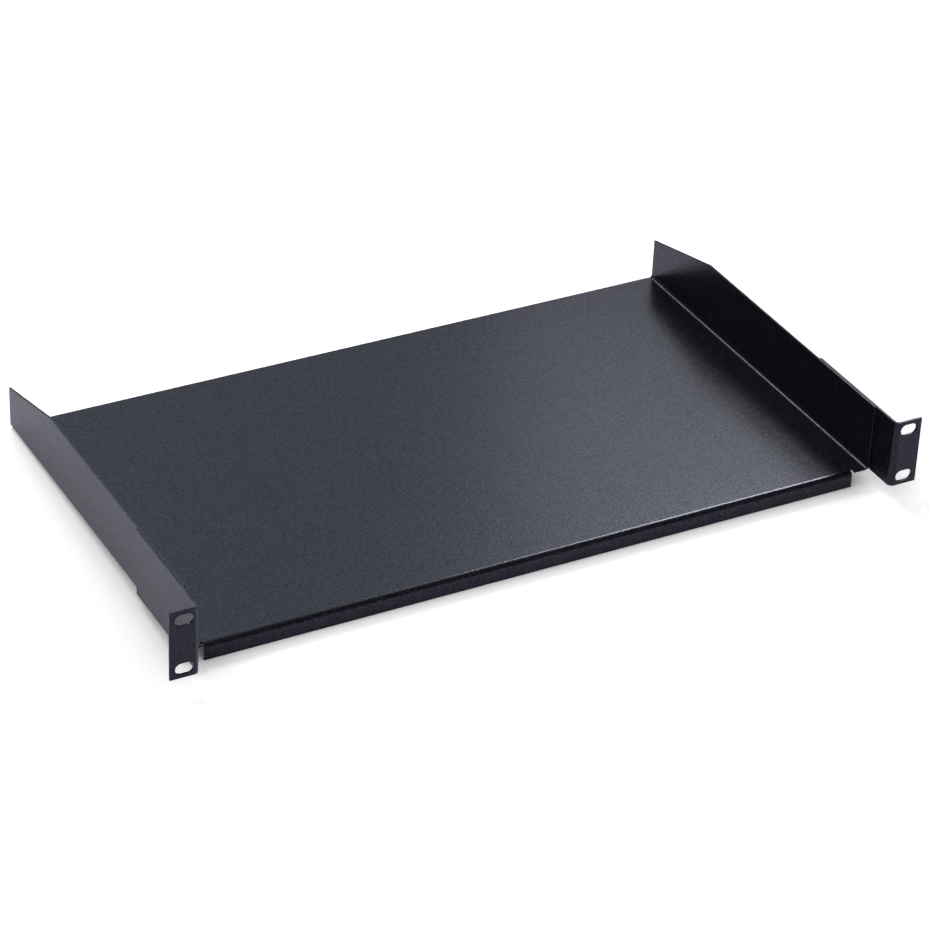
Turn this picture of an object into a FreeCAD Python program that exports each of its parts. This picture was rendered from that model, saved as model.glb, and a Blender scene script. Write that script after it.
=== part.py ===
import FreeCAD, Part
import math
import os

import Sketcher

# Cantilever rack shelf, one rack unit high, folded from sheet steel.
#
# Three pieces: a tray (deck, two side walls, a lip folded down along the front) and two
# L-shaped brackets that are spot-welded to the outside of the walls. The brackets'
# ears are turned outwards and screw to the front of a 19-inch rack.
#
# Frame, in millimetres: X to the right, Y to the back, Z up. The origin is the centre
# of the four rack screws, in the plane of the ears' rear faces, which is the plane of
# the rack posts' front faces.

OUTPUT_FOLDER = "parts"

# Driving dimensions, in millimetres: name, value, what it measures.
SIZES = [
    ("panel_width", 482.6, "over both ears, the 19-inch panel width"),
    ("panel_height", 43.66, "height of ears, flanges and walls: one rack unit less its gap"),
    ("ear_width", 18.05, "from the outside of a wall to an ear's outer edge"),
    ("slot_side_margin", 8.75, "from an ear's outer edge to its slots' centres"),
    ("slot_end_margin", 5.955, "from an ear's top or bottom edge to a slot's centre"),
    ("slot_length", 11.0, "rack slot, end to end"),
    ("slot_width", 7.0, "rack slot, across"),
    ("bracket_sheet", 1.5, "thickness of a bracket"),
    ("bracket_bend_inside", 2.0, "inside radius of a bracket's bend"),
    ("bracket_reach", 82.0, "from the rack posts' plane to a flange's back end"),
    ("tray_depth", 255.0, "from the lip's face to the rear edge"),
    ("tray_setback", 20.0, "from the rack posts' plane to the tray's front"),
    ("tray_sheet", 1.2, "thickness of the tray"),
    ("tray_bend_inside", 2.0, "inside radius of the tray's bends"),
    ("wall_rear_height", 28.0, "height of a wall at its back edge"),
    ("wall_taper_length", 67.0, "length over which a wall's top slopes down"),
    ("lip_height", 10.5, "from the deck's top to the lip's lower edge"),
    ("lip_end_inset", 12.0, "from a wall's outside to that end of the lip"),
    ("relief_width", 1.5, "width of the cut that frees each end of the lip"),
    ("relief_margin", 0.2, "depth of that cut behind the lip's bend"),
    ("edge_round", 0.25, "radius that deburring and paint leave on every cut edge"),
]

# Places that follow from those sizes, as expressions for the document.
HALF_HEIGHT = "Sizes.panel_height / 2"
UNDERSIDE = "-Sizes.panel_height / 2"
DECK_TOP = "Sizes.tray_sheet - Sizes.panel_height / 2"
RIGHT_SIDE = "Sizes.panel_width / 2 - Sizes.ear_width"
RIGHT_LIP_END = "Sizes.panel_width / 2 - Sizes.ear_width - Sizes.lip_end_inset"
TRAY_FRONT = "-Sizes.tray_depth / 2"
TRAY_BACK = "Sizes.tray_depth / 2"
RELIEF_DEPTH = "Sizes.tray_bend_inside + Sizes.tray_sheet + Sizes.relief_margin"

# The numbers that Sketcher gives to an edge's two ends, and to a sketch's origin.
START = 1
END = 2
ORIGIN = (-1, 1)

# Two faces that meet at a larger angle make a cut edge. At less, it is a bend's seam.
CUT_EDGE_ANGLE = math.radians(30)

# An edge this many times as long as the sheet is thick runs along the sheet's outline.
# A shorter one is a corner, which goes straight through the sheet.
CORNER_LENGTH = 1.01


def make_sheet(doc):
    """Puts each driving dimension in a spreadsheet cell with an alias."""
    sheet = doc.addObject("Spreadsheet::Sheet", "Sizes")
    for row, (name, value, meaning) in enumerate(SIZES, start=1):
        sheet.set("A%d" % row, name)
        sheet.set("B%d" % row, str(value))
        sheet.set("C%d" % row, meaning)
        sheet.setAlias("B%d" % row, name)
    doc.recompute()


def new_body(doc, label):
    """An empty body whose label is the name of its piece."""
    body = doc.addObject("PartDesign::Body", label)
    body.Label = label
    return body


def origin_plane(body, role):
    """The body's own origin plane with this role, such as XY_Plane."""
    return next(item for item in body.Origin.OriginFeatures if item.Role == role)


def new_sketch(body, name, role):
    """An empty sketch on one of the body's origin planes."""
    sketch = body.newObject("Sketcher::SketchObject", name)
    sketch.AttachmentSupport = [(origin_plane(body, role), "")]
    sketch.MapMode = "FlatFace"
    return sketch


def value(sketch, expression):
    """What an expression comes to with the sheet's present numbers."""
    return float(sketch.evalExpression(expression))


def add_line(sketch, start, end, kind):
    """A straight edge from start to end, which is Horizontal, Vertical or Slanted."""
    edge = sketch.addGeometry(
        Part.LineSegment(FreeCAD.Vector(*start), FreeCAD.Vector(*end))
    )
    if kind != "Slanted":
        sketch.addConstraint(Sketcher.Constraint(kind, edge))
    return edge


def add_arc(sketch, centre, radius, start_degrees, sweep_degrees):
    """A round edge that runs anticlockwise from its start through its sweep."""
    circle = Part.Circle(FreeCAD.Vector(*centre), FreeCAD.Vector(0, 0, 1), radius)
    start = math.radians(start_degrees)
    end = math.radians(start_degrees + sweep_degrees)
    return sketch.addGeometry(Part.ArcOfCircle(circle, start, end))


def join(sketch, first, second, kind="Coincident"):
    """Makes two edges' ends meet. Tangent makes them run on smoothly too."""
    sketch.addConstraint(Sketcher.Constraint(kind, *first, *second))


def dimension(sketch, name, kind, points, expression):
    """A named dimension between points, or of one edge, that follows the sheet."""
    numbers = [number for point in points for number in point]
    constraint = Sketcher.Constraint(kind, *numbers, value(sketch, expression))
    index = sketch.addConstraint(constraint)
    sketch.renameConstraint(index, name)
    sketch.setExpression("Constraints." + name, expression)


def draw_fold(sketch, corner, across, up, thickness, inside):
    """The section of a sheet that is folded once, at a right angle.

    corner is where the two outer faces would meet if the fold were sharp. across and
    up are the two legs, each with its direction, +1 or -1, and its length from there.
    """
    corner_x, corner_y = (value(sketch, place) for place in corner)
    turn_x, length_x = across
    turn_y, length_y = up
    sheet = value(sketch, thickness)
    inner = value(sketch, inside)
    outer = inner + sheet

    def point(along_x, along_y):
        return (corner_x + turn_x * along_x, corner_y + turn_y * along_y, 0)

    tip_x = value(sketch, length_x)
    tip_y = value(sketch, length_y)
    outer_x = add_line(sketch, point(tip_x, 0), point(outer, 0), "Horizontal")
    outer_y = add_line(sketch, point(0, outer), point(0, tip_y), "Vertical")
    end_y = add_line(sketch, point(0, tip_y), point(sheet, tip_y), "Horizontal")
    inner_y = add_line(sketch, point(sheet, tip_y), point(sheet, outer), "Vertical")
    inner_x = add_line(sketch, point(outer, sheet), point(tip_x, sheet), "Horizontal")
    end_x = add_line(sketch, point(tip_x, sheet), point(tip_x, 0), "Vertical")

    # A quarter turn that starts at the leg along y when both legs run the same way,
    # and at the leg along x when they don't.
    same_way = turn_x == turn_y
    at_y, at_x = (START, END) if same_way else (END, START)
    if same_way:
        start_degrees = 180 if turn_x > 0 else 0
    else:
        start_degrees = 270 if turn_y > 0 else 90
    outer_bend = add_arc(sketch, point(outer, outer), outer, start_degrees, 90)
    inner_bend = add_arc(sketch, point(outer, outer), inner, start_degrees, 90)

    join(sketch, (outer_x, END), (outer_bend, at_x), "Tangent")
    join(sketch, (outer_bend, at_y), (outer_y, START), "Tangent")
    join(sketch, (outer_y, END), (end_y, START))
    join(sketch, (end_y, END), (inner_y, START))
    join(sketch, (inner_y, END), (inner_bend, at_y), "Tangent")
    join(sketch, (inner_bend, at_x), (inner_x, START), "Tangent")
    join(sketch, (inner_x, END), (end_x, START))
    join(sketch, (end_x, END), (outer_x, START))

    signs = {1: "", -1: "-"}
    across_run = "%s(%s)" % (signs[turn_x], length_x)
    across_sheet = "%s(%s)" % (signs[turn_x], thickness)
    up_run = "%s(%s)" % (signs[turn_y], length_y)
    up_sheet = "%s(%s)" % (signs[turn_y], thickness)
    outside = "%s + %s" % (inside, thickness)
    dimension(sketch, "corner_x", "DistanceX", [ORIGIN, (outer_y, START)], corner[0])
    dimension(sketch, "corner_y", "DistanceY", [ORIGIN, (outer_x, END)], corner[1])
    dimension(sketch, "leg_x", "DistanceX", [(outer_y, START), (outer_x, START)], across_run)
    dimension(sketch, "leg_y", "DistanceY", [(outer_x, END), (outer_y, END)], up_run)
    dimension(sketch, "sheet_x", "DistanceX", [(end_y, START), (end_y, END)], across_sheet)
    dimension(sketch, "sheet_y", "DistanceY", [(end_x, END), (end_x, START)], up_sheet)
    dimension(sketch, "inside_radius", "Radius", [(inner_bend,)], inside)
    dimension(sketch, "outside_radius", "Radius", [(outer_bend,)], outside)


def draw_rectangle(sketch, left, right, bottom, top):
    """A rectangle between four places."""
    x0, x1, y0, y1 = (value(sketch, place) for place in (left, right, bottom, top))
    south = add_line(sketch, (x0, y0, 0), (x1, y0, 0), "Horizontal")
    east = add_line(sketch, (x1, y0, 0), (x1, y1, 0), "Vertical")
    north = add_line(sketch, (x1, y1, 0), (x0, y1, 0), "Horizontal")
    west = add_line(sketch, (x0, y1, 0), (x0, y0, 0), "Vertical")
    edges = [south, east, north, west]
    for edge, following in zip(edges, edges[1:] + edges[:1]):
        join(sketch, (edge, END), (following, START))
    dimension(sketch, "left", "DistanceX", [ORIGIN, (south, START)], left)
    dimension(sketch, "right", "DistanceX", [ORIGIN, (south, END)], right)
    dimension(sketch, "bottom", "DistanceY", [ORIGIN, (south, START)], bottom)
    dimension(sketch, "top", "DistanceY", [ORIGIN, (north, START)], top)


def draw_taper(sketch):
    """The triangle between a wall's full top edge and its slope down to the back."""
    back = value(sketch, TRAY_BACK)
    top = value(sketch, HALF_HEIGHT)
    low = value(sketch, UNDERSIDE) + value(sketch, "Sizes.wall_rear_height")
    knee = back - value(sketch, "Sizes.wall_taper_length")
    level = add_line(sketch, (knee, top, 0), (back, top, 0), "Horizontal")
    upright = add_line(sketch, (back, top, 0), (back, low, 0), "Vertical")
    slope = add_line(sketch, (back, low, 0), (knee, top, 0), "Slanted")
    join(sketch, (level, END), (upright, START))
    join(sketch, (upright, END), (slope, START))
    join(sketch, (slope, END), (level, START))
    rear_edge = UNDERSIDE + " + Sizes.wall_rear_height"
    taper = "Sizes.wall_taper_length"
    dimension(sketch, "back", "DistanceX", [ORIGIN, (level, END)], TRAY_BACK)
    dimension(sketch, "top", "DistanceY", [ORIGIN, (level, END)], HALF_HEIGHT)
    dimension(sketch, "rear_edge", "DistanceY", [ORIGIN, (upright, END)], rear_edge)
    dimension(sketch, "taper", "DistanceX", [(level, START), (level, END)], taper)


def draw_slot(sketch, centre_x, centre_y, length, width):
    """A level slot with round ends."""
    middle_x = value(sketch, centre_x)
    middle_y = value(sketch, centre_y)
    radius = value(sketch, width) / 2
    reach = value(sketch, length) / 2 - radius
    left, right = middle_x - reach, middle_x + reach
    low, high = middle_y - radius, middle_y + radius
    bottom = add_line(sketch, (left, low, 0), (right, low, 0), "Horizontal")
    right_end = add_arc(sketch, (right, middle_y, 0), radius, 270, 180)
    top = add_line(sketch, (right, high, 0), (left, high, 0), "Horizontal")
    left_end = add_arc(sketch, (left, middle_y, 0), radius, 90, 180)
    edges = [bottom, right_end, top, left_end]
    for edge, following in zip(edges, edges[1:] + edges[:1]):
        join(sketch, (edge, END), (following, START), "Tangent")
    run = "%s - %s" % (length, width)
    left_place = "%s - (%s) / 2" % (centre_x, run)
    low_place = "%s - %s / 2" % (centre_y, width)
    dimension(sketch, "end_radius", "Radius", [(left_end,)], width + " / 2")
    dimension(sketch, "run", "DistanceX", [(bottom, START), (bottom, END)], run)
    dimension(sketch, "left", "DistanceX", [ORIGIN, (bottom, START)], left_place)
    dimension(sketch, "low", "DistanceY", [ORIGIN, (bottom, START)], low_place)


def pad(body, name, sketch, length):
    """Fills a section to both sides of its plane, this long in all."""
    feature = body.newObject("PartDesign::Pad", name)
    feature.Profile = sketch
    feature.SideType = "Symmetric"
    feature.setExpression("Length", length)
    return feature


def cut_through(body, name, sketch):
    """Cuts a section through the whole body, to both sides of its plane."""
    feature = body.newObject("PartDesign::Pocket", name)
    feature.Profile = sketch
    feature.Type = "ThroughAll"
    feature.SideType = "Symmetric"
    return feature


def mirror(body, name, features, role):
    """Repeats features on the other side of one of the body's origin planes."""
    feature = body.newObject("PartDesign::Mirrored", name)
    feature.Originals = features
    feature.MirrorPlane = (origin_plane(body, role), [""])
    body.Tip = feature
    return feature


def is_cut_edge(shape, edge, thickness):
    """Whether an edge is one that the cutter left along the outline of the sheet."""
    if edge.Length <= CORNER_LENGTH * thickness:
        return False
    middle = edge.valueAt((edge.FirstParameter + edge.LastParameter) / 2)
    normals = [
        face.normalAt(*face.Surface.parameter(middle))
        for face in shape.ancestorsOfType(edge, Part.Face)
    ]
    return len(normals) == 2 and normals[0].getAngle(normals[1]) > CUT_EDGE_ANGLE


def round_cut_edges(doc, body, sketch, thickness):
    """Rounds every cut edge of the finished sheet, and leaves the bends alone."""
    doc.recompute()
    base = body.Tip
    sheet = value(sketch, thickness)
    names = [
        "Edge%d" % number
        for number, edge in enumerate(base.Shape.Edges, start=1)
        if is_cut_edge(base.Shape, edge, sheet)
    ]
    feature = body.newObject("PartDesign::Fillet", "rounded_edges")
    feature.Base = (base, names)
    feature.setExpression("Radius", "Sizes.edge_round")
    body.Tip = feature


def make_tray(doc):
    """The tray, drawn about its own middle and set behind the rack posts' plane."""
    body = new_body(doc, "shelf_tray")

    section = new_sketch(body, "half_section", "XZ_Plane")
    draw_fold(
        section,
        corner=(RIGHT_SIDE, UNDERSIDE),
        across=(-1, RIGHT_SIDE),
        up=(1, "Sizes.panel_height"),
        thickness="Sizes.tray_sheet",
        inside="Sizes.tray_bend_inside",
    )
    right_half = pad(body, "right_half", section, "Sizes.tray_depth")
    mirror(body, "both_halves", [right_half], "YZ_Plane")

    taper = new_sketch(body, "taper_outline", "YZ_Plane")
    draw_taper(taper)
    cut_through(body, "wall_tapers", taper)

    relief = new_sketch(body, "relief_outline", "XY_Plane")
    relief_end = RIGHT_LIP_END + " + Sizes.relief_width"
    draw_rectangle(
        relief,
        left="-(%s)" % relief_end,
        right=relief_end,
        bottom=TRAY_FRONT,
        top="%s + %s" % (TRAY_FRONT, RELIEF_DEPTH),
    )
    cut_through(body, "lip_relief", relief)

    lip = new_sketch(body, "lip_section", "YZ_Plane")
    draw_fold(
        lip,
        corner=(TRAY_FRONT, DECK_TOP),
        across=(1, RELIEF_DEPTH),
        up=(-1, "Sizes.lip_height"),
        thickness="Sizes.tray_sheet",
        inside="Sizes.tray_bend_inside",
    )
    pad(body, "lip", lip, "2 * (%s)" % RIGHT_LIP_END)

    round_cut_edges(doc, body, section, "Sizes.tray_sheet")
    body.setExpression("Placement.Base.y", "Sizes.tray_setback + Sizes.tray_depth / 2")
    return body


def make_bracket(doc, label, turned_over):
    """One bracket. It is the same sheet on both sides, turned over for the left."""
    body = new_body(doc, label)

    section = new_sketch(body, "section", "XY_Plane")
    draw_fold(
        section,
        corner=(RIGHT_SIDE, "-Sizes.bracket_sheet"),
        across=(1, "Sizes.ear_width"),
        up=(1, "Sizes.bracket_reach + Sizes.bracket_sheet"),
        thickness="Sizes.bracket_sheet",
        inside="Sizes.bracket_bend_inside",
    )
    pad(body, "folded_sheet", section, "Sizes.panel_height")

    slot = new_sketch(body, "slot_outline", "XZ_Plane")
    draw_slot(
        slot,
        centre_x="Sizes.panel_width / 2 - Sizes.slot_side_margin",
        centre_y="Sizes.panel_height / 2 - Sizes.slot_end_margin",
        length="Sizes.slot_length",
        width="Sizes.slot_width",
    )
    upper_slot = cut_through(body, "upper_slot", slot)
    mirror(body, "both_slots", [upper_slot], "XY_Plane")

    round_cut_edges(doc, body, section, "Sizes.bracket_sheet")
    half_turn = FreeCAD.Rotation(FreeCAD.Vector(0, 1, 0), 180 if turned_over else 0)
    body.Placement = FreeCAD.Placement(FreeCAD.Vector(0, 0, 0), half_turn)
    return body


def check(doc, bodies):
    """Stops if any object failed, a cut took nothing, or a piece isn't one sound solid."""
    for item in doc.Objects:
        if "Invalid" in item.State or "Error" in item.State:
            raise RuntimeError("%s did not recompute: %s" % (item.Name, item.State))
        if item.TypeId == "PartDesign::Pocket":
            removed = item.BaseFeature.Shape.Volume - item.Shape.Volume
            if removed <= 0:
                raise RuntimeError("%s cuts nothing" % item.Name)
            print("%-14s cuts away %6.1f mm3" % (item.Name, removed))
    for body in bodies:
        shape = body.Shape
        if shape.isNull() or not shape.isValid() or len(shape.Solids) != 1:
            raise RuntimeError("%s is not one sound solid" % body.Label)
        print("%-14s %9.1f mm3  %s" % (body.Label, shape.Volume, shape.BoundBox))


def main():
    doc = FreeCAD.newDocument("cantilever_rack_shelf")
    make_sheet(doc)
    bodies = [
        make_tray(doc),
        make_bracket(doc, "left_bracket", turned_over=True),
        make_bracket(doc, "right_bracket", turned_over=False),
    ]
    doc.recompute()
    check(doc, bodies)
    os.makedirs(OUTPUT_FOLDER, exist_ok=True)
    for body in bodies:
        body.Shape.exportStep(os.path.join(OUTPUT_FOLDER, body.Label + ".step"))


main()
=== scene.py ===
import logging
import math
from dataclasses import dataclass
from enum import Enum

import bpy
from mathutils import Matrix, Vector


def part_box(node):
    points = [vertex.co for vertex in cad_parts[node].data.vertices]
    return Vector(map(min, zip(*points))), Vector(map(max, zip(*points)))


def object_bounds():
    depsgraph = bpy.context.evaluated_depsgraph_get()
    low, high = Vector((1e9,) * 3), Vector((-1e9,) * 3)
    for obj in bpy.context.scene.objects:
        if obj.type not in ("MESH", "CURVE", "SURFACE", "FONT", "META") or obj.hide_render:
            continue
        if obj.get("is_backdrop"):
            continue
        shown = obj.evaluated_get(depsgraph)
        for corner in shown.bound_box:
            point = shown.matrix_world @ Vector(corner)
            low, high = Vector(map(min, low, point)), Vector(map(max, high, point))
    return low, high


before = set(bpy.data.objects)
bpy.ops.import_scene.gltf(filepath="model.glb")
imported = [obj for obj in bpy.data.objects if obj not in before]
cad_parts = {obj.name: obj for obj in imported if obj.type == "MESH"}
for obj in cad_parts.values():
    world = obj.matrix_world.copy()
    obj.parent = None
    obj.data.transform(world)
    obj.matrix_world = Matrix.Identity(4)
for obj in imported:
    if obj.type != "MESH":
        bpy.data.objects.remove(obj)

# A cantilever rack shelf of folded sheet steel: one tray and the two brackets that
# are welded to its sides. The CAD solids have the true shape of every piece, so this
# script gives them their coating, and sets up a plain studio round them.
#
# Everything is in metres, in the frame of the solids: X to the right, Y to the back
# and Z up, from the middle of the four rack screws. Put down on a table, the shelf
# rests on its front lip and on the deck's rear edge, so the floor here leans with it.

MILLIMETRE = 0.001

# Nearly all of a noise texture lies between these two levels.
NOISE_LOW = 0.3
NOISE_HIGH = 0.7

WHITE = "#ffffff"

LOG = logging.getLogger("rack_shelf")


def linear_colour(
    hex_code: str, level: float = 1.0
) -> tuple[float, float, float, float]:
    """Turns an sRGB hex colour into linear light, by the curve of the sRGB standard.

    Args:
        hex_code: the colour as "#rrggbb".
        level: how many times as bright as written it is.

    Returns:
        Linear red, green and blue, and an alpha of one.
    """
    channels = (int(hex_code[start : start + 2], 16) / 255 for start in (1, 3, 5))
    red, green, blue = (
        value / 12.92 if value <= 0.04045 else ((value + 0.055) / 1.055) ** 2.4
        for value in channels
    )
    return (red * level, green * level, blue * level, 1.0)


def add_node(
    tree: bpy.types.NodeTree,
    kind: str,
    settings: dict[str, object] | None = None,
    **inputs: object,
) -> bpy.types.Node:
    """Adds a node, sets it up, and fills its inputs.

    Args:
        tree: the tree that gets the node.
        kind: the node's type name, such as "ShaderNodeBump".
        settings: properties of the node itself, such as its operation.
        **inputs: a value or another node's output for each input, named by the
            input's name with underscores for spaces, or by "input_N" for its place.

    Returns:
        The new node.
    """
    node = tree.nodes.new(kind)
    for name, setting in (settings or {}).items():
        setattr(node, name, setting)
    for name, source in inputs.items():
        if name.startswith("input_"):
            socket = node.inputs[int(name.removeprefix("input_"))]
        else:
            socket = node.inputs[name.replace("_", " ")]
        if isinstance(source, bpy.types.NodeSocket):
            tree.links.new(source, socket)
        else:
            socket.default_value = source
    return node


class Axis(Enum):
    """The frame's axes, by the way that each points."""

    RIGHT = "X"
    BACK = "Y"
    UP = "Z"


class Coat(Enum):
    """The powder coats on the shelf's pieces, each named for its material and piece."""

    TRAY = "polyester_powder_coat_tray"
    LEFT_BRACKET = "polyester_powder_coat_bracket_left"
    RIGHT_BRACKET = "polyester_powder_coat_bracket_right"


@dataclass(frozen=True)
class Grain:
    """A pattern of soft lumps in the coat.

    Attributes:
        spacing_mm: from one lump to the next.
        detail: how many finer sets of lumps lie on the first.
        harshness: how strong each finer set is, beside the one before it.
    """

    spacing_mm: float
    detail: float
    harshness: float


@dataclass(frozen=True)
class PowderCoat:
    """Black polyester powder, sprayed dry on sheet steel and baked.

    The powder melts into a satin skin that isn't quite level: a fine pebble that
    glints in raking light, over a slow waviness like an orange's peel.

    Attributes:
        coat: which piece's coat it is.
        film: colour of the coat.
        speck: colour of the paler grains of powder.
        speck_from: level of the pebble's noise at which the grains start to pale.
        speck_to: level at which they have their full colour.
        ior: of baked polyester.
        gloss_tint: colour of the skin's reflections, which are a little blue.
        shine: of the skin, where 0.5 is what its IOR gives.
        painted_hollow_shade: painted shade, how far the shine drops in the pebble's
            hollows and rises on its tops.
        roughness: of the satin skin.
        roughness_spread: how far the sheen drifts from place to place.
        pebble: the pebble. The real one is about 0.3 mm, too fine to show at arm's
            length, so it is drawn coarser.
        pebble_height_mm: from the pebble's hollows to its tops.
        peel: the slow waviness.
        peel_height_mm: from its hollows to its crests.
        drift: the soft patches where the sheen changes.
        edge_radius_mm: of the round that the molten film leaves on cut edges.
        edge_samples: how many times each point feels for an edge near it.
    """

    coat: Coat
    film: str = "#060609"
    speck: str = "#1e1f27"
    speck_from: float = 0.45
    speck_to: float = 0.85
    ior: float = 1.5
    gloss_tint: str = "#cbcee7"
    shine: float = 0.5
    # Painted shade in the pebble's hollows, drawn as a drop in shine.
    painted_hollow_shade: float = 0.20
    roughness: float = 0.25
    roughness_spread: float = 0.015
    pebble: Grain = Grain(1.4, 2.0, 0.6)
    pebble_height_mm: float = 0.100
    peel: Grain = Grain(4.5, 1.0, 0.5)
    peel_height_mm: float = 0.020
    drift: Grain = Grain(85.0, 3.0, 0.55)
    edge_radius_mm: float = 0.5
    edge_samples: int = 8

    def build(self) -> bpy.types.Material:
        """Makes the material.

        Returns:
            A node material whose patterns keep their real size on any piece.
        """
        material = bpy.data.materials.new(self.coat.value)
        material.use_nodes = True
        tree = material.node_tree
        tree.nodes.clear()

        # The pieces' meshes are in metres from one shared origin, so object
        # coordinates in millimetres give every pattern its real size.
        place = add_node(tree, "ShaderNodeTexCoord").outputs["Object"]
        in_mm = add_node(
            tree,
            "ShaderNodeVectorMath",
            {"operation": "SCALE"},
            input_0=place,
            Scale=1 / MILLIMETRE,
        ).outputs[0]

        pebble, peel, drift = (
            add_node(
                tree,
                "ShaderNodeTexNoise",
                Vector=in_mm,
                Scale=1 / grain.spacing_mm,
                Detail=grain.detail,
                Roughness=grain.harshness,
            ).outputs[0]
            for grain in (self.pebble, self.peel, self.drift)
        )

        melted_edges = add_node(
            tree,
            "ShaderNodeBevel",
            {"samples": self.edge_samples},
            Radius=self.edge_radius_mm * MILLIMETRE,
        ).outputs[0]
        slow_bump = add_node(
            tree,
            "ShaderNodeBump",
            Distance=self.peel_height_mm * MILLIMETRE,
            Height=peel,
            Normal=melted_edges,
        ).outputs["Normal"]
        bump = add_node(
            tree,
            "ShaderNodeBump",
            Distance=self.pebble_height_mm * MILLIMETRE,
            Height=pebble,
            Normal=slow_bump,
        ).outputs["Normal"]

        specks = add_node(
            tree,
            "ShaderNodeMapRange",
            Value=pebble,
            From_Min=self.speck_from,
            From_Max=self.speck_to,
        ).outputs[0]
        colour = add_node(
            tree,
            "ShaderNodeMix",
            {"data_type": "RGBA"},
            input_0=specks,
            input_6=linear_colour(self.film),
            input_7=linear_colour(self.speck),
        ).outputs[2]

        # Painted shade: the shine is turned down in the pebble's hollows and up on its
        # tops, in place of the shade that falls in the hollows.
        shine = add_node(
            tree,
            "ShaderNodeMapRange",
            Value=pebble,
            From_Min=NOISE_LOW,
            From_Max=NOISE_HIGH,
            To_Min=self.shine - self.painted_hollow_shade,
            To_Max=self.shine + self.painted_hollow_shade,
        ).outputs[0]
        roughness = add_node(
            tree,
            "ShaderNodeMapRange",
            Value=drift,
            From_Min=NOISE_LOW,
            From_Max=NOISE_HIGH,
            To_Min=self.roughness - self.roughness_spread,
            To_Max=self.roughness + self.roughness_spread,
        ).outputs[0]
        skin = add_node(
            tree,
            "ShaderNodeBsdfPrincipled",
            Base_Color=colour,
            Roughness=roughness,
            IOR=self.ior,
            Specular_IOR_Level=shine,
            Specular_Tint=linear_colour(self.gloss_tint),
            Normal=bump,
        ).outputs[0]
        add_node(tree, "ShaderNodeOutputMaterial", Surface=skin)
        return material


@dataclass(frozen=True)
class Piece:
    """One piece of coated sheet steel, whose solid has its final shape.

    Attributes:
        node: the solid's name.
        finish: the powder coat on it.
    """

    node: str
    finish: PowderCoat

    def dress(self) -> None:
        """Puts the coat on every face of the piece."""
        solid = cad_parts[self.node]
        solid.data.materials.clear()
        solid.data.materials.append(self.finish.build())
        low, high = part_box(self.node)
        size = [round((top - bottom) / MILLIMETRE, 1) for bottom, top in zip(low, high)]
        LOG.info("%s: %s, %s mm", self.node, self.finish.coat.value, size)


@dataclass(frozen=True)
class Shelf:
    """The whole shelf: the tray, and the two brackets welded to it.

    Attributes:
        tray: the folded tray.
        left_bracket: the bracket on its left wall.
        right_bracket: the bracket on its right wall.
    """

    tray: Piece = Piece("shelf_tray", PowderCoat(Coat.TRAY))
    left_bracket: Piece = Piece("left_bracket", PowderCoat(Coat.LEFT_BRACKET))
    right_bracket: Piece = Piece("right_bracket", PowderCoat(Coat.RIGHT_BRACKET))

    def dress(self) -> None:
        """Coats each piece in turn."""
        for piece in (self.tray, self.left_bracket, self.right_bracket):
            piece.dress()


@dataclass(frozen=True)
class Softbox:
    """A rectangular studio lamp behind white cloth.

    Attributes:
        name: the lamp's name.
        bearing: in degrees, where it stands as seen from above: 0 is in front of the
            shelf and 90 is to its right.
        distance: along the floor from the shelf's middle, in metres.
        height: of the cloth's middle over the shelf's, in metres.
        width: of the cloth, in metres.
        tall: height of the cloth, in metres.
        level: the cloth's brightness, where 1 is white.
        upright: whether the cloth hangs upright, rather than leaning to the shelf.
        gloss_only: whether it is flagged off from matt surfaces, so that it makes its
            line in the gloss and leaves the floor evenly lit.
    """

    name: str
    bearing: float
    distance: float
    height: float
    width: float
    tall: float
    level: float
    upright: bool = False
    gloss_only: bool = False

    def place(self, middle: Vector) -> None:
        """Hangs the lamp and turns it to the shelf.

        Args:
            middle: the middle of the shelf's box.
        """
        turn = math.radians(self.bearing)
        outwards = Vector((math.sin(turn), -math.cos(turn), 0)) * self.distance
        centre = outwards + Vector((0, 0, self.height))
        lamp = bpy.data.lights.new(self.name, "AREA")
        lamp.shape = "RECTANGLE"
        lamp.size = self.width
        lamp.size_y = self.tall
        # The watts at which a cloth of this size is as bright as its level says.
        lamp.energy = self.level * math.pi * self.width * self.tall
        holder = bpy.data.objects.new(self.name, lamp)
        holder.location = middle + centre
        holder.rotation_mode = "QUATERNION"
        facing = outwards if self.upright else centre
        holder.rotation_quaternion = facing.to_track_quat("Z", "Y")
        holder.visible_camera = False
        holder.visible_diffuse = not self.gloss_only
        bpy.context.scene.collection.objects.link(holder)


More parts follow.
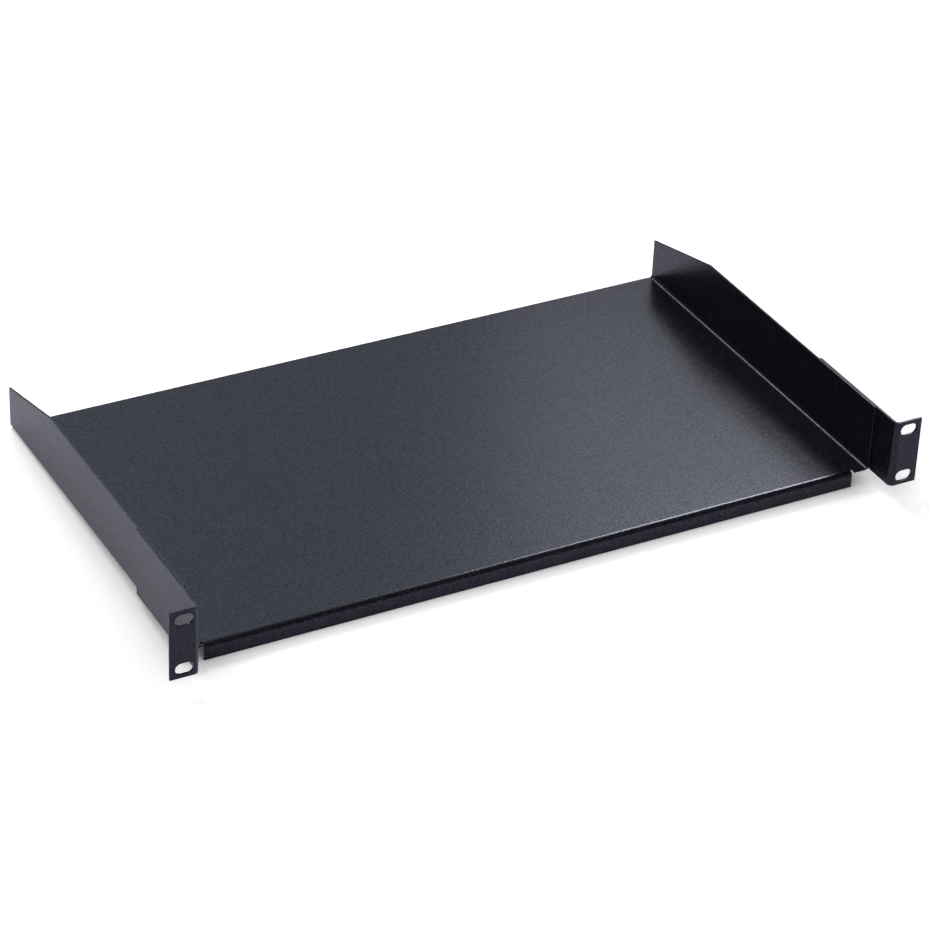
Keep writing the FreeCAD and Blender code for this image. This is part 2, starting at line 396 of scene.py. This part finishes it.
@dataclass(frozen=True)
class Floor:
    """A sheet of matt white paper that the shelf stands on.

    Uncoated paper scatters light evenly, so it shows soft shadows and no shine.

    Attributes:
        reach: from the shelf's middle to the paper's edges, in metres.
        lip_sheet: thickness of the sheet on whose lower edge the front lip stands.
        paper: the paper's colour as a source of soft light.
        gloss_paper: its cool white in gloss and through glass.
        gloss_level: how bright that is, where 1 is as written.
        shown_level: how white it looks to the eye. Over 1, so that it keeps only the
            deeper shadows.
    """

    reach: float = 6.0
    lip_sheet: float = 1.2 * MILLIMETRE
    paper: str = "#ececec"
    gloss_paper: str = "#f1f3ff"
    gloss_level: float = 1.20
    shown_level: float = 1.56

    def lay(self) -> None:
        """Lays the paper against the front lip and the deck's rear edge."""
        tray_low, tray_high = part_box("shelf_tray")
        bracket_low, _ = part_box("left_bracket")
        front = tray_low.y + self.lip_sheet
        slope = (bracket_low.z - tray_low.z) / (tray_high.y - front)
        middle_y = (tray_low.y + tray_high.y) / 2
        paper_corners = [
            (
                side_x * self.reach,
                middle_y + side_y * self.reach,
                tray_low.z + (middle_y + side_y * self.reach - front) * slope,
            )
            for side_x, side_y in ((-1, -1), (1, -1), (1, 1), (-1, 1))
        ]
        mesh = bpy.data.meshes.new("studio_floor")
        mesh.from_pydata(paper_corners, [], [(0, 1, 2, 3)])
        mesh.materials.append(self.material())
        floor = bpy.data.objects.new("studio_floor", mesh)
        bpy.context.scene.collection.objects.link(floor)
        floor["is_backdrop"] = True

    def material(self) -> bpy.types.Material:
        """Makes the paper, which can't be seen from below.

        Returns:
            A diffuse material, paler to the eye and in gloss than as a light source.
        """
        material = bpy.data.materials.new("matt_white_paper")
        material.use_nodes = True
        tree = material.node_tree
        tree.nodes.clear()
        path = add_node(tree, "ShaderNodeLightPath").outputs
        in_gloss = add_node(
            tree,
            "ShaderNodeMath",
            {"operation": "MAXIMUM"},
            input_0=path["Is Glossy Ray"],
            input_1=path["Is Transmission Ray"],
        ).outputs[0]
        unseen = add_node(
            tree,
            "ShaderNodeMix",
            {"data_type": "RGBA"},
            input_0=in_gloss,
            input_6=linear_colour(self.paper),
            input_7=linear_colour(self.gloss_paper, self.gloss_level),
        ).outputs[2]
        colour = add_node(
            tree,
            "ShaderNodeMix",
            {"data_type": "RGBA"},
            input_0=path["Is Camera Ray"],
            input_6=unseen,
            input_7=linear_colour(WHITE, self.shown_level),
        ).outputs[2]
        paper = add_node(tree, "ShaderNodeBsdfDiffuse", Color=colour).outputs[0]
        nothing = add_node(tree, "ShaderNodeBsdfTransparent").outputs[0]
        from_below = add_node(tree, "ShaderNodeNewGeometry").outputs["Backfacing"]
        one_sided = add_node(
            tree,
            "ShaderNodeMixShader",
            input_0=from_below,
            input_1=paper,
            input_2=nothing,
        ).outputs[0]
        add_node(tree, "ShaderNodeOutputMaterial", Surface=one_sided)
        return material


@dataclass(frozen=True)
class SoftEdge:
    """A soft edge across the room, at right angles to one axis.

    Attributes:
        axis: the axis it crosses.
        start: how far a direction must point along the axis for the edge to begin,
            where 1 is straight along it.
        end: how far it must point to be wholly inside.
    """

    axis: Axis
    start: float
    end: float


@dataclass(frozen=True)
class GlossPatch:
    """A part of the room, as the shelf's gloss mirrors it.

    Attributes:
        brightness: of the patch, where 1 is white.
        edges: the soft edges that it lies within.
    """

    brightness: float
    edges: tuple[SoftEdge, ...]

    def paint_over(
        self,
        tree: bpy.types.NodeTree,
        along: bpy.types.bpy_prop_collection,
        under: float | bpy.types.NodeSocket,
    ) -> bpy.types.NodeSocket:
        """Paints the patch over what the gloss mirrored there before.

        Args:
            tree: the room's node tree.
            along: outputs that give the direction looked in along X, Y and Z.
            under: the brightness before.

        Returns:
            The brightness with the patch in it.
        """
        inside: float | bpy.types.NodeSocket = 1.0
        for edge in self.edges:
            fade = add_node(
                tree,
                "ShaderNodeMapRange",
                Value=along[edge.axis.value],
                From_Min=edge.start,
                From_Max=edge.end,
            ).outputs[0]
            inside = add_node(
                tree,
                "ShaderNodeMath",
                {"operation": "MULTIPLY"},
                input_0=inside,
                input_1=fade,
            ).outputs[0]
        return add_node(
            tree,
            "ShaderNodeMapRange",
            Value=inside,
            To_Min=under,
            To_Max=self.brightness,
        ).outputs[0]


@dataclass(frozen=True)
class Room:
    """The studio's walls and ceiling, far behind the lamps.

    Attributes:
        fill: how brightly the room lights the shelf's matt part from all round.
        rest: how bright the room looks in its gloss, apart from the patches.
        ceiling: the patch straight above.
        front_wall: the patch in front of the shelf, below the ceiling.
        back_wall: the pale patch behind it and to the right, between the skirting and
            the ceiling.
        paint: the room's cool white in gloss.
    """

    fill: float = 0.55
    rest: float = 0.18
    ceiling: GlossPatch = GlossPatch(0.40, (SoftEdge(Axis.UP, 0.85, 0.97),))
    front_wall: GlossPatch = GlossPatch(
        0.28,
        (
            SoftEdge(Axis.BACK, -0.15, -0.45),
            SoftEdge(Axis.UP, 0.70, 0.45),
        ),
    )
    back_wall: GlossPatch = GlossPatch(
        1.11,
        (
            SoftEdge(Axis.BACK, 0.0, 0.4),
            SoftEdge(Axis.RIGHT, -0.25, 0.10),
            SoftEdge(Axis.UP, 0.26, 0.60),
            SoftEdge(Axis.UP, 0.85, 0.60),
        ),
    )
    paint: str = "#ecf1ff"

    def light(self) -> None:
        """Makes the room white to the eye, and softly lit for the shelf."""
        world = bpy.data.worlds.new("white_room")
        world.use_nodes = True
        tree = world.node_tree
        tree.nodes.clear()

        direction = add_node(tree, "ShaderNodeTexCoord").outputs["Generated"]
        along = add_node(tree, "ShaderNodeSeparateXYZ", Vector=direction).outputs
        in_gloss: float | bpy.types.NodeSocket = self.rest
        for patch in (self.ceiling, self.front_wall, self.back_wall):
            in_gloss = patch.paint_over(tree, along, in_gloss)

        path = add_node(tree, "ShaderNodeLightPath").outputs
        for_shelf = add_node(
            tree,
            "ShaderNodeMix",
            {"data_type": "FLOAT"},
            input_0=path["Is Glossy Ray"],
            input_2=self.fill,
            input_3=in_gloss,
        ).outputs[0]
        strength = add_node(
            tree,
            "ShaderNodeMix",
            {"data_type": "FLOAT"},
            input_0=path["Is Camera Ray"],
            input_2=for_shelf,
            input_3=1.0,
        ).outputs[0]
        colour = add_node(
            tree,
            "ShaderNodeMix",
            {"data_type": "RGBA"},
            input_0=path["Is Glossy Ray"],
            input_6=linear_colour(WHITE),
            input_7=linear_colour(self.paint),
        ).outputs[2]
        glow = add_node(
            tree, "ShaderNodeBackground", Color=colour, Strength=strength
        ).outputs[0]
        add_node(tree, "ShaderNodeOutputWorld", Surface=glow)
        bpy.context.scene.world = world


@dataclass(frozen=True)
class Studio:
    """A plain white floor in a pale room, under soft light.

    Attributes:
        floor: the floor.
        room: the room.
        lamps: the softboxes.
    """

    floor: Floor = Floor()
    room: Room = Room()
    lamps: tuple[Softbox, ...] = (
        Softbox("side_softbox", 124.9, 0.77, 0.50, 0.645, 0.36, 1.03, upright=True),
        Softbox("key_softbox", 119.0, 0.85, 0.93, 0.50, 0.25, 25.0, gloss_only=True),
        Softbox("back_softbox", 187.0, 1.30, 1.36, 0.50, 0.42, 12.0),
        Softbox("left_softbox", 255.0, 1.03, 1.23, 1.30, 1.30, 0.7),
    )

    def build(self) -> None:
        """Lays the floor, lights the room and hangs the lamps."""
        low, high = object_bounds()
        middle = (low + high) / 2
        self.floor.lay()
        self.room.light()
        for lamp in self.lamps:
            lamp.place(middle)


@dataclass(frozen=True)
class Viewpoint:
    """The camera, well back with a long lens.

    Attributes:
        azimuth: in degrees, negative when the camera stands to the left of the front.
        elevation: in degrees above the floor.
        roll: in degrees, how far the camera leans to its left.
        distance: from the point it looks at, in metres.
        aim_offset: from the middle of the shelf's box to that point, in metres.
        lens: focal length, in millimetres.
        film_width: in millimetres.
        nearest: the nearest thing it can see, in metres.
        farthest: the farthest.
    """

    azimuth: float = -29.22
    elevation: float = 32.34
    roll: float = 2.52
    distance: float = 2.0388
    aim_offset: tuple[float, float, float] = (-0.0116, -0.0422, 0.0047)
    lens: float = 135.6
    film_width: float = 36.0
    nearest: float = 0.05
    farthest: float = 50.0

    def build(self) -> None:
        """Makes the scene's camera."""
        low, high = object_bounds()
        aim = (low + high) / 2 + Vector(self.aim_offset)
        turn = math.radians(self.azimuth)
        rise = math.radians(self.elevation)
        backwards = Vector(
            (
                math.sin(turn) * math.cos(rise),
                -math.cos(turn) * math.cos(rise),
                math.sin(rise),
            )
        )
        sideways = Vector((0, 0, 1)).cross(backwards).normalized()
        upwards = backwards.cross(sideways)
        upright = Matrix((sideways, upwards, backwards)).transposed().to_4x4()
        lean = Matrix.Rotation(math.radians(self.roll), 4, "Z")

        data = bpy.data.cameras.new("camera")
        data.sensor_width = self.film_width
        data.lens = self.lens
        data.clip_start = self.nearest
        data.clip_end = self.farthest
        camera = bpy.data.objects.new("camera", data)
        camera.matrix_world = (
            Matrix.Translation(aim + backwards * self.distance) @ upright @ lean
        )
        bpy.context.scene.collection.objects.link(camera)
        bpy.context.scene.camera = camera


def main() -> None:
    """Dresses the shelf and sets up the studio."""
    logging.basicConfig(level=logging.INFO, format="%(name)s: %(message)s")
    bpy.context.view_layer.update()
    Shelf().dress()
    Viewpoint().build()
    Studio().build()
    bpy.context.scene.view_settings.view_transform = "Standard"


if __name__ == "__main__":
    main()
